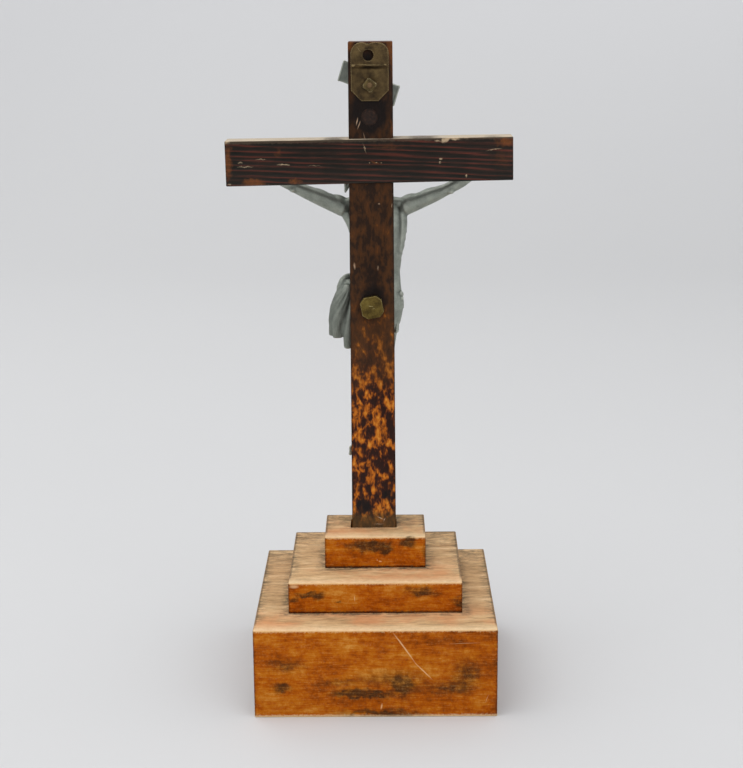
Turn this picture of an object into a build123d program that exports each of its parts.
"""Table crucifix: a batten cross with a cast figure, standing loose in a three-step wooden base.

Millimetres, +Z up. The origin is the centre of the lower step's underside. The figure faces -Y,
and the hanger plate and the nuts are on the back, towards +Y.
"""

import os
from math import asin, degrees, radians, tan

from build123d import *

# --- Stepped base ---
lower_width = 127.0
lower_depth = 127.0
lower_height = 48.3
front_strip_depth = 21.0  # the lower step is a deep block with a strip glued on at the front
middle_width = 92.3
middle_depth = 85.2
middle_height = 16.9
middle_back_inset = 24.5  # from the lower step's back face
top_width = 54.6
top_depth = 39.9
top_height = 17.4
top_back_inset = 23.7  # from the middle step's back face
step_arris = 0.7  # rounding of the steps' edges

# --- Cross battens ---
post_foot_width = 24.1
post_top_width = 23.0
post_depth = 14.0
post_length = 296.1
post_back_inset = 17.0  # from the top step's back face
post_x = 0.65  # the post stands a little off the base's centre
batten_arris = 0.5

bar_length = 150.3
bar_left_height = 23.6  # at the figure's left hand, +X
bar_right_height = 22.6
bar_stands_proud = 1.0  # past the post's back; the two are flush at the front
bar_below_top = 61.0  # the bar's centre below the top of the post
bar_x = 1.65
bar_tilt = -0.7  # degrees about the crossing, seen from the front

# --- Mortise in the middle and top steps ---
mortise_gap = 0.3
mortise_left_gap = 0.8  # the mortise is cut wide on its +X side

# --- Fasteners ---
hole_gap = 0.1  # between a shank and its hole
step_screw_radius = 2.0
step_screw_head_radius = 4.2
step_screw_head_height = 2.6
step_screw_length = 62.0
step_screw_pit_radius = 5.0
step_screw_pit_depth = 14.0
step_screw_tip = 4.0
step_screw_tip_radius = 0.4
step_screw_slot_width = 1.0
step_screw_slot_depth = 1.3
lap_screw_radius = 1.4
lap_screw_head_radius = 2.8
lap_screw_head_height = 1.5
lap_screw_length = 12.0
lap_screw_tip = 2.8
lap_screw_slot_width = 0.7
lap_screw_slot_depth = 0.5
lap_screw_x = -1.8
nail_radius = 0.6
hand_nail_length = 10.0
foot_nail_length = 22.0
foot_nail_in_post = 7.0
nail_head_radius = 1.6
nail_head_height = 0.9
nail_head_taper = 30.0

# --- Hanger plate, titulus fixing and plug on the back of the post ---
plate_width = 19.6
plate_height = 29.9
plate_thickness = 1.2
plate_x = 0.95
plate_below_top = 0.2  # the plate's top edge below the top of the post
plate_joggle = 1.6  # how far the upper leaf stands off the lower one
plate_upper_height = 11.4
plate_joggle_height = 2.0
plate_bend_shift = 0.4  # the bends on the wood's side lie this much higher
plate_shoulder_radius = 5.6
plate_corner_cut = 5.4
plate_dip_radius = 4.0
plate_dip_depth = 0.7
hang_hole_radius = 2.8
hang_hole_below_top = 6.5
hang_hole_x = 1.75

titulus_stud_radius = 1.5
titulus_stud_below_top = 21.8
titulus_stud_x = 1.0
titulus_nut_size = 6.0  # across flats
titulus_nut_thickness = 4.0
titulus_nut_corner = 0.8
titulus_nut_turn = 53.0
titulus_stud_stands_out = 0.7
titulus_stud_rounding = 0.7

plug_radius = 4.4
plug_length = 8.0
plug_sunk = 0.8
plug_below_top = 38.3
plug_x = 1.3

# --- Titulus: a waved scroll cast in one piece ---
titulus_length = 32.4
titulus_height = 10.9
titulus_thickness = 1.4
titulus_tilt = 24.7
titulus_end_lean = 7.5  # the ends stand more upright than the middle
titulus_x = 1.6

# --- Figure and its fixing ---
figure_stud_radius = 2.6
figure_stud_below_bar = 77.3
figure_stud_x = 0.8
figure_stud_depth = 7.0  # how far it runs into the casting
figure_boss_radius = 5.2
figure_nut_size = 11.8
figure_nut_thickness = 3.6
figure_nut_corner = 2.6
figure_nut_turn = 10.7
foot_nail_below_bar = 160.5
foot_nail_x = 1.4
palm_inset = 8.5  # from each end of the bar
palm_thickness = 3.6
palm_length = 11.0
palm_width = 7.0
left_elbow_drop = 15.1  # below the bar's centre
right_elbow_drop = 16.6
elbow_share = 0.5  # of the way from shoulder to palm
elbow_forward = 1.2
wrist_share = 0.72  # of the way from elbow to palm
figure_boss_cover = 1.0  # casting left in front of the stud

# --- Places worked out from the sizes above ---
lower_back_y = lower_depth / 2
lower_front_y = -lower_depth / 2
middle_back_y = lower_back_y - middle_back_inset
middle_centre_y = middle_back_y - middle_depth / 2
top_back_y = middle_back_y - top_back_inset
top_centre_y = top_back_y - top_depth / 2
post_back_y = top_back_y - post_back_inset
post_front_y = post_back_y - post_depth
post_centre_y = (post_back_y + post_front_y) / 2
lap_y = post_front_y + post_depth / 2  # where the two halves of the lap joint meet
bar_depth = post_depth + bar_stands_proud
bar_back_y = post_front_y + bar_depth

middle_z = lower_height
top_z = middle_z + middle_height
base_top_z = top_z + top_height
post_foot_z = lower_height  # the foot stands on the lower step
post_top_z = post_foot_z + post_length
bar_z = post_top_z - bar_below_top
figure_stud_z = bar_z - figure_stud_below_bar
foot_nail_z = bar_z - foot_nail_below_bar
titulus_stud_z = post_top_z - titulus_stud_below_top
plug_z = post_top_z - plug_below_top

mortise_left_x = post_x + post_foot_width / 2 + mortise_left_gap
mortise_right_x = post_x - post_foot_width / 2 - mortise_gap
mortise_width = mortise_left_x - mortise_right_x
mortise_x = (mortise_left_x + mortise_right_x) / 2
mortise_depth_y = post_depth + 2 * mortise_gap

# Each step screw goes up midway between the mortise and a side of the top step.
left_screw_x = (mortise_left_x + top_width / 2) / 2
right_screw_x = (mortise_right_x - top_width / 2) / 2
step_screw_places = [(left_screw_x, post_centre_y), (right_screw_x, post_centre_y)]

bar_left_x = bar_x + bar_length / 2
bar_right_x = bar_x - bar_length / 2
left_palm_x = bar_left_x - palm_inset
right_palm_x = bar_right_x + palm_inset


def back_view(y):
    """The workplane at y that faces +Y, with its own x towards -X and its own y upwards."""
    return Plane(origin=(0, y, 0), x_dir=(-1, 0, 0), z_dir=(0, 1, 0))


def front_view(y):
    """The workplane at y that faces -Y, with its own x towards +X and its own y upwards."""
    return Plane.XZ.offset(-y)


def from_crossing(x, forward, drop):
    """A point of the figure, measured from the front of the crossing: to +X, forward and down."""
    return Vector(x, post_front_y - forward, bar_z - drop)


def bar_centre_z(x):
    """Height of the tilted bar's centre line at x."""
    rise = Vector(1, 0, 0).rotate(Axis.Y, -bar_tilt)
    return bar_z + (x - bar_x) * rise.Z / rise.X


def step_outer_edges(part):
    """The upright and top edges of a box-shaped step."""
    return part.edges().filter_by(Axis.Z) + part.edges().group_by(Axis.Z)[-1]


os.makedirs("parts", exist_ok=True)

# ------------------------------------------------------------------ stepped base
# The lower step is finished as one block, and then parted along its glue line.
with BuildPart() as lower_step:
    Box(lower_width, lower_depth, lower_height, align=(Align.CENTER, Align.CENTER, Align.MIN))
    fillet(lower_step.edges(), step_arris)

glue_line = front_view(lower_front_y + front_strip_depth)

with BuildPart() as lower_step_block:
    add(lower_step.part)
    split(bisect_by=glue_line, keep=Keep.BOTTOM)
    with Locations([Plane(origin=(x, y, 0), z_dir=(0, 0, -1)) for x, y in step_screw_places]):
        CounterBoreHole(
            radius=step_screw_radius + hole_gap,
            counter_bore_radius=step_screw_pit_radius,
            counter_bore_depth=step_screw_pit_depth,
            depth=lower_height,
        )
lower_step_block.part.label = "lower_step_block"

with BuildPart() as lower_step_front_strip:
    add(lower_step.part)
    split(bisect_by=glue_line, keep=Keep.TOP)
lower_step_front_strip.part.label = "lower_step_front_strip"

with BuildPart() as middle_step:
    with BuildSketch(Plane.XY.offset(middle_z)):
        with Locations((0, middle_centre_y)):
            Rectangle(middle_width, middle_depth)
    extrude(amount=middle_height)
    fillet(step_outer_edges(middle_step), step_arris)
    with BuildSketch(Plane.XY.offset(middle_z)):
        with Locations((mortise_x, post_centre_y)):
            Rectangle(mortise_width, mortise_depth_y)
        with Locations(step_screw_places):
            Circle(step_screw_radius + hole_gap)
    extrude(amount=middle_height, mode=Mode.SUBTRACT)
middle_step.part.label = "middle_step"

with BuildPart() as top_step:
    with BuildSketch(Plane.XY.offset(top_z)):
        with Locations((0, top_centre_y)):
            Rectangle(top_width, top_depth)
    extrude(amount=top_height)
    fillet(step_outer_edges(top_step), step_arris)
    with BuildSketch(Plane.XY.offset(top_z)):
        with Locations((mortise_x, post_centre_y)):
            Rectangle(mortise_width, mortise_depth_y)
    extrude(amount=top_height, mode=Mode.SUBTRACT)
    with BuildSketch(Plane.XY.offset(top_z)):
        with Locations(step_screw_places):
            Circle(step_screw_radius + hole_gap)
    extrude(amount=step_screw_pit_depth + step_screw_length - top_z + hole_gap, mode=Mode.SUBTRACT)
top_step.part.label = "top_step"

# Two long screws, sunk in pits in the underside, draw the three steps together.
with BuildPart() as step_screws:
    with Locations([(x, y, step_screw_pit_depth) for x, y in step_screw_places]):
        Cylinder(
            step_screw_radius,
            step_screw_length - step_screw_tip,
            align=(Align.CENTER, Align.CENTER, Align.MIN),
        )
    with Locations([(x, y, step_screw_pit_depth) for x, y in step_screw_places]):
        Cylinder(
            step_screw_head_radius,
            step_screw_head_height,
            align=(Align.CENTER, Align.CENTER, Align.MAX),
        )
    tip_z = step_screw_pit_depth + step_screw_length - step_screw_tip
    with Locations([(x, y, tip_z) for x, y in step_screw_places]):
        Cone(
            step_screw_radius,
            step_screw_tip_radius,
            step_screw_tip,
            align=(Align.CENTER, Align.CENTER, Align.MIN),
        )
    slot_z = step_screw_pit_depth - step_screw_head_height
    with Locations([(x, y, slot_z) for x, y in step_screw_places]):
        Box(
            2 * step_screw_head_radius,
            step_screw_slot_width,
            step_screw_slot_depth,
            align=(Align.CENTER, Align.CENTER, Align.MIN),
            mode=Mode.SUBTRACT,
        )
step_screws.part.label = "step_screws"

# ------------------------------------------------------------------ cross battens
# The post is straight where it stands in the base and tapers slightly above it.
post_outline = [
    (-post_x - post_foot_width / 2, post_foot_z),
    (-post_x - post_foot_width / 2, base_top_z),
    (-post_x - post_top_width / 2, post_top_z),
    (-post_x + post_top_width / 2, post_top_z),
    (-post_x + post_foot_width / 2, base_top_z),
    (-post_x + post_foot_width / 2, post_foot_z),
]
bar_centre = (-bar_x, bar_z)
bar_outline = [
    (bar_length / 2, -bar_right_height / 2),
    (bar_length / 2, bar_right_height / 2),
    (-bar_length / 2, bar_left_height / 2),
    (-bar_length / 2, -bar_left_height / 2),
]

with BuildSketch() as post_profile:
    with BuildLine():
        Polyline(*post_outline, close=True)
    make_face()

with BuildSketch() as bar_profile:
    with Locations(Location((*bar_centre, 0), (0, 0, -bar_tilt))):
        Polygon(*bar_outline, align=None)

with BuildPart() as upright_post:
    with BuildSketch(back_view(post_front_y)):
        add(post_profile.sketch)
    extrude(amount=post_depth)
    fillet(upright_post.edges(), batten_arris)
    # The back half of the lap joint takes the bar.
    with BuildSketch(back_view(lap_y)):
        add(bar_profile.sketch)
    extrude(amount=bar_back_y - lap_y, mode=Mode.SUBTRACT)
    with BuildSketch(back_view(post_back_y)):
        with Locations((-titulus_stud_x, titulus_stud_z)):
            Circle(titulus_stud_radius + hole_gap)
        with Locations((-figure_stud_x, figure_stud_z)):
            Circle(figure_stud_radius + hole_gap)
    extrude(amount=-post_depth, mode=Mode.SUBTRACT)
    with BuildSketch(back_view(post_back_y)):
        with Locations((-plug_x, plug_z)):
            Circle(plug_radius)
    extrude(amount=-(plug_length + plug_sunk), mode=Mode.SUBTRACT)
    with BuildSketch(back_view(lap_y)):
        with Locations((-lap_screw_x, bar_z)):
            Circle(lap_screw_radius + hole_gap)
    extrude(amount=-(lap_screw_length - (bar_back_y - lap_y)), mode=Mode.SUBTRACT)
    with BuildSketch(front_view(post_front_y)):
        with Locations((foot_nail_x, foot_nail_z)):
            Circle(nail_radius + hole_gap)
    extrude(amount=-foot_nail_in_post, mode=Mode.SUBTRACT)
upright_post.part.label = "upright_post"

with BuildPart() as crossbar:
    with BuildSketch(back_view(post_front_y)):
        add(bar_profile.sketch)
    extrude(amount=bar_depth)
    fillet(crossbar.edges(), batten_arris)
    # The front half of the lap joint takes the post.
    with BuildSketch(back_view(post_front_y)):
        add(post_profile.sketch)
    extrude(amount=lap_y - post_front_y, mode=Mode.SUBTRACT)
    with Locations(Plane(origin=(lap_screw_x, bar_back_y, bar_z), z_dir=(0, 1, 0))):
        CounterSinkHole(
            radius=lap_screw_radius + hole_gap,
            counter_sink_radius=lap_screw_head_radius + hole_gap,
            depth=bar_depth,
        )
    with BuildSketch(front_view(post_front_y)):
        with Locations(
            (left_palm_x, bar_centre_z(left_palm_x)),
            (right_palm_x, bar_centre_z(right_palm_x)),
        ):
            Circle(nail_radius + hole_gap)
    extrude(amount=-hand_nail_length, mode=Mode.SUBTRACT)
crossbar.part.label = "crossbar"

# Countersunk screw that closes the lap joint from the back.
with BuildPart() as lap_joint_screw:
    with BuildSketch(Plane.XY):
        with BuildLine():
            Polyline(
                (0, 0),
                (lap_screw_head_radius, 0),
                (lap_screw_radius, -lap_screw_head_height),
                (lap_screw_radius, lap_screw_tip - lap_screw_length),
                (0, -lap_screw_length),
                close=True,
            )
        make_face()
    revolve(axis=Axis.Y)
    with BuildSketch(Plane.XZ):
        Rectangle(2 * lap_screw_head_radius, lap_screw_slot_width)
    extrude(amount=lap_screw_slot_depth, mode=Mode.SUBTRACT)
lap_joint_screw.part.position = (lap_screw_x, bar_back_y - hole_gap, bar_z)
lap_joint_screw.part.label = "lap_joint_screw"

with BuildPart() as post_plug:
    with BuildSketch(back_view(post_back_y - plug_sunk)):
        with Locations((-plug_x, plug_z)):
            Circle(plug_radius)
    extrude(amount=-plug_length)
post_plug.part.label = "post_plug"

# ------------------------------------------------------------------ hanger plate and titulus fixing
plate_top_z = post_top_z - plate_below_top
plate_bottom_z = plate_top_z - plate_height
joggle_top_z = plate_top_z - plate_upper_height
joggle_bottom_z = joggle_top_z - plate_joggle_height

# The side profile is a joggled strip; the outline, seen from the back, trims it.
with BuildPart() as hanger_plate:
    with BuildSketch(Plane.YZ.offset(plate_x - plate_width / 2)):
        with BuildLine():
            Polyline(
                (post_back_y, plate_bottom_z),
                (post_back_y + plate_thickness, plate_bottom_z),
                (post_back_y + plate_thickness, joggle_bottom_z),
                (post_back_y + plate_thickness + plate_joggle, joggle_top_z),
                (post_back_y + plate_thickness + plate_joggle, plate_top_z),
                (post_back_y + plate_joggle, plate_top_z),
                (post_back_y + plate_joggle, joggle_top_z + plate_bend_shift),
                (post_back_y, joggle_bottom_z + plate_bend_shift),
                close=True,
            )
        make_face()
    extrude(amount=plate_width)
    with BuildSketch(back_view(post_back_y)) as plate_outline:
        with Locations((-plate_x, plate_bottom_z + plate_height / 2)):
            Rectangle(plate_width, plate_height)
        fillet(plate_outline.vertices().group_by(Axis.Y)[-1], plate_shoulder_radius)
        chamfer(plate_outline.vertices().group_by(Axis.Y)[0], plate_corner_cut)
        with Locations((-hang_hole_x, plate_top_z + plate_dip_radius - plate_dip_depth)):
            Circle(plate_dip_radius, mode=Mode.SUBTRACT)
        with Locations((-hang_hole_x, plate_top_z - hang_hole_below_top)):
            Circle(hang_hole_radius, mode=Mode.SUBTRACT)
        with Locations((-titulus_stud_x, titulus_stud_z)):
            Circle(titulus_stud_radius + hole_gap, mode=Mode.SUBTRACT)
    extrude(amount=plate_thickness + plate_joggle, mode=Mode.INTERSECT)
hanger_plate.part.label = "hanger_plate"

plate_face_y = post_back_y + plate_thickness
titulus_nut_y = plate_face_y + titulus_nut_thickness

with BuildPart() as titulus_nut:
    with BuildSketch(back_view(plate_face_y)) as nut_outline:
        with Locations(Location((-titulus_stud_x, titulus_stud_z, 0), (0, 0, titulus_nut_turn))):
            Rectangle(titulus_nut_size, titulus_nut_size)
        chamfer(nut_outline.vertices(), titulus_nut_corner)
        with Locations((-titulus_stud_x, titulus_stud_z)):
            Circle(titulus_stud_radius, mode=Mode.SUBTRACT)
    extrude(amount=titulus_nut_thickness)
titulus_nut.part.label = "titulus_nut"

with BuildPart() as titulus_stud:
    with BuildSketch(back_view(post_front_y)):
        with Locations((-titulus_stud_x, titulus_stud_z)):
            Circle(titulus_stud_radius)
    extrude(amount=titulus_nut_y + titulus_stud_stands_out - post_front_y)
    fillet(titulus_stud.faces().sort_by(Axis.Y)[-1].edges(), titulus_stud_rounding)
titulus_stud.part.label = "titulus_stud"

# The scroll waves: its middle climbs steeply across the post and its ends turn level again.
titulus_rise = Vector(1, 0, 0).rotate(Axis.Y, -titulus_tilt)
titulus_frame = Plane(
    origin=(titulus_x, post_front_y, titulus_stud_z), x_dir=titulus_rise, z_dir=(0, -1, 0)
)
titulus_half = titulus_length / 2
end_shift = titulus_height / 2 * tan(radians(titulus_end_lean))
end_heading = Vector(1, 0, 0).rotate(Axis.Z, -titulus_end_lean)
with BuildPart() as titulus_scroll:
    with BuildSketch(titulus_frame):
        with BuildLine():
            lower_wave = Spline(
                (-titulus_half - end_shift, -titulus_height / 2),
                (0, -titulus_height / 2),
                (titulus_half - end_shift, -titulus_height / 2),
                tangents=[end_heading, end_heading],
            )
            upper_wave = Spline(
                (-titulus_half + end_shift, titulus_height / 2),
                (0, titulus_height / 2),
                (titulus_half + end_shift, titulus_height / 2),
                tangents=[end_heading, end_heading],
            )
            Line(lower_wave @ 0, upper_wave @ 0)
            Line(lower_wave @ 1, upper_wave @ 1)
        make_face()
    extrude(amount=titulus_thickness)
titulus_scroll.part.label = "titulus_scroll"

# ------------------------------------------------------------------ figure
# Body sections run downwards from the neck: x, forward, drop below the bar, half width, half depth.
body_sections = [
    (-1.0, 9.5, 21.0, 5.0, 4.5),
    (-1.0, 9.5, 26.0, 15.0, 5.5),
    (-2.5, 10.0, 36.0, 15.4, 7.6),
    (-3.2, 10.0, 47.0, 13.9, 7.6),
    (-3.6, 9.4, 61.0, 10.8, 6.6),
    (-3.2, 9.2, 71.0, 12.4, 7.2),
    (-2.8, 9.2, 80.0, 13.8, 7.8),
    (-2.6, 9.2, 92.0, 13.2, 8.0),
]
neck_base = from_crossing(0.0, 10.0, 24.0)
skull = from_crossing(6.0, 15.5, 7.0)
chin = from_crossing(3.6, 19.0, 17.0)
crown = from_crossing(6.2, 15.0, 6.4)
hair_lock = from_crossing(13.2, 13.0, 15.6)

left_shoulder = from_crossing(17.0, 9.3, 26.4)
right_shoulder = from_crossing(-18.0, 9.3, 26.2)
left_palm = Vector(left_palm_x, post_front_y - palm_thickness / 2, bar_centre_z(left_palm_x))
right_palm = Vector(right_palm_x, post_front_y - palm_thickness / 2, bar_centre_z(right_palm_x))

left_hip = from_crossing(4.0, 9.5, 90.0)
right_hip = from_crossing(-9.5, 9.5, 90.0)
left_knee = from_crossing(5.8, 15.5, 123.0)
right_knee = from_crossing(-4.8, 17.0, 122.0)
left_ankle = from_crossing(4.4, 5.4, 154.5)
right_ankle = from_crossing(-0.6, 9.2, 152.0)
left_toes = from_crossing(11.0, 12.0, 163.6)
right_toes = from_crossing(-3.4, 16.5, 171.5)

cloth_knot = from_crossing(11.0, 9.0, 70.0)
cloth_middle = from_crossing(19.0, 8.5, 84.0)
cloth_end = from_crossing(20.5, 8.0, 96.0)


def bent_arm(shoulder, palm, elbow_drop):
    """Elbow and wrist of an arm whose elbow hangs that far below the bar's centre."""
    elbow = shoulder + (palm - shoulder) * elbow_share
    elbow = Vector(elbow.X, elbow.Y - elbow_forward, bar_z - elbow_drop)
    wrist = elbow + (palm - elbow) * wrist_share
    return elbow, wrist


left_elbow, left_wrist = bent_arm(left_shoulder, left_palm, left_elbow_drop)
right_elbow, right_wrist = bent_arm(right_shoulder, right_palm, right_elbow_drop)

# Each limb tapers between two round joints: from, to, and the radius at each.
limbs = [
    (neck_base, skull, 4.6, 4.3),
    (skull, chin, 9.3, 5.0),
    (crown, hair_lock, 6.0, 4.0),
    (left_shoulder, left_elbow, 4.8, 3.3),
    (left_elbow, left_wrist, 3.4, 2.1),
    (right_shoulder, right_elbow, 4.8, 3.3),
    (right_elbow, right_wrist, 3.4, 2.1),
    (left_hip, left_knee, 6.9, 5.0),
    (right_hip, right_knee, 6.9, 5.0),
    (left_knee, left_ankle, 4.9, 2.9),
    (right_knee, right_ankle, 4.9, 2.9),
    (left_ankle, left_toes, 3.2, 2.7),
    (right_ankle, right_toes, 3.2, 2.7),
    (cloth_knot, cloth_middle, 4.6, 4.4),
    (cloth_middle, cloth_end, 4.2, 3.2),
]

foot_head_y = post_front_y + foot_nail_in_post - foot_nail_length

with BuildPart() as corpus:
    for x, forward, drop, half_width, half_depth in body_sections:
        with BuildSketch(Plane.XY.offset(bar_z - drop)):
            with Locations((x, post_front_y - forward)):
                Ellipse(half_width, half_depth)
    loft(ruled=True)
    for start, end, start_radius, end_radius in limbs:
        run = end - start
        taper = degrees(asin((start_radius - end_radius) / run.length))
        with BuildSketch(Plane(origin=start, x_dir=run, z_dir=run.cross(Vector(0, 1, 0)))):
            with BuildLine():
                start_cap = CenterArc((0, 0), start_radius, 90 - taper, 90 + taper)
                end_cap = CenterArc((run.length, 0), end_radius, 0, 90 - taper)
                Line(start_cap @ 0, end_cap @ 1)
                Line(start_cap @ 1, end_cap @ 0)
            make_face()
        revolve(axis=Axis(start, run))
    for palm in (left_palm, right_palm):
        with Locations(palm):
            Box(palm_length, palm_thickness, palm_width)
    # A boss behind the hips meets the post, and the casting is flat where it lies on the wood.
    with BuildSketch(front_view(post_front_y)):
        with Locations((figure_stud_x, figure_stud_z)):
            Circle(figure_boss_radius)
    extrude(amount=figure_stud_depth + figure_boss_cover)
    split(bisect_by=front_view(post_front_y), keep=Keep.TOP)
    with BuildSketch(front_view(post_front_y)):
        with Locations((figure_stud_x, figure_stud_z)):
            Circle(figure_stud_radius)
    extrude(amount=figure_stud_depth, mode=Mode.SUBTRACT)
    with BuildSketch(front_view(post_front_y)):
        with Locations(
            (left_palm_x, left_palm.Z), (right_palm_x, right_palm.Z), (foot_nail_x, foot_nail_z)
        ):
            Circle(nail_radius + hole_gap)
    extrude(amount=foot_nail_length, mode=Mode.SUBTRACT)
    # The foot nail's head sits in a small flat sunk into the upper foot.
    with BuildSketch(front_view(foot_head_y)):
        with Locations((foot_nail_x, foot_nail_z)):
            Circle(nail_head_radius + hole_gap)
    extrude(amount=foot_nail_length, mode=Mode.SUBTRACT)
corpus.part.label = "corpus"

with BuildPart() as corpus_stud:
    with BuildSketch(back_view(post_front_y - figure_stud_depth)):
        with Locations((-figure_stud_x, figure_stud_z)):
            Circle(figure_stud_radius)
    extrude(amount=figure_stud_depth + post_depth + figure_nut_thickness)
corpus_stud.part.label = "corpus_stud"

with BuildPart() as corpus_nut:
    with BuildSketch(back_view(post_back_y)) as nut_outline:
        with Locations(Location((-figure_stud_x, figure_stud_z, 0), (0, 0, figure_nut_turn))):
            Rectangle(figure_nut_size, figure_nut_size)
        chamfer(nut_outline.vertices(), figure_nut_corner)
        with Locations((-figure_stud_x, figure_stud_z)):
            Circle(figure_stud_radius, mode=Mode.SUBTRACT)
    extrude(amount=figure_nut_thickness)
corpus_nut.part.label = "corpus_nut"

hand_head_y = post_front_y - palm_thickness
with BuildPart() as hand_nails:
    with BuildSketch(back_view(hand_head_y)):
        with Locations((-left_palm_x, left_palm.Z), (-right_palm_x, right_palm.Z)):
            Circle(nail_radius)
    extrude(amount=hand_nail_length)
    with BuildSketch(front_view(hand_head_y)):
        with Locations((left_palm_x, left_palm.Z), (right_palm_x, right_palm.Z)):
            Circle(nail_head_radius)
    extrude(amount=nail_head_height, taper=nail_head_taper)
hand_nails.part.label = "hand_nails"

with BuildPart() as foot_nail:
    with BuildSketch(back_view(foot_head_y)):
        with Locations((-foot_nail_x, foot_nail_z)):
            Circle(nail_radius)
    extrude(amount=foot_nail_length)
    with BuildSketch(front_view(foot_head_y)):
        with Locations((foot_nail_x, foot_nail_z)):
            Circle(nail_head_radius)
    extrude(amount=nail_head_height, taper=nail_head_taper)
foot_nail.part.label = "foot_nail"

for piece in (
    lower_step_block,
    lower_step_front_strip,
    middle_step,
    top_step,
    step_screws,
    upright_post,
    crossbar,
    lap_joint_screw,
    post_plug,
    hanger_plate,
    titulus_nut,
    titulus_stud,
    titulus_scroll,
    corpus,
    corpus_stud,
    corpus_nut,
    hand_nails,
    foot_nail,
):
    export_step(piece.part, f"parts/{piece.part.label}.step")
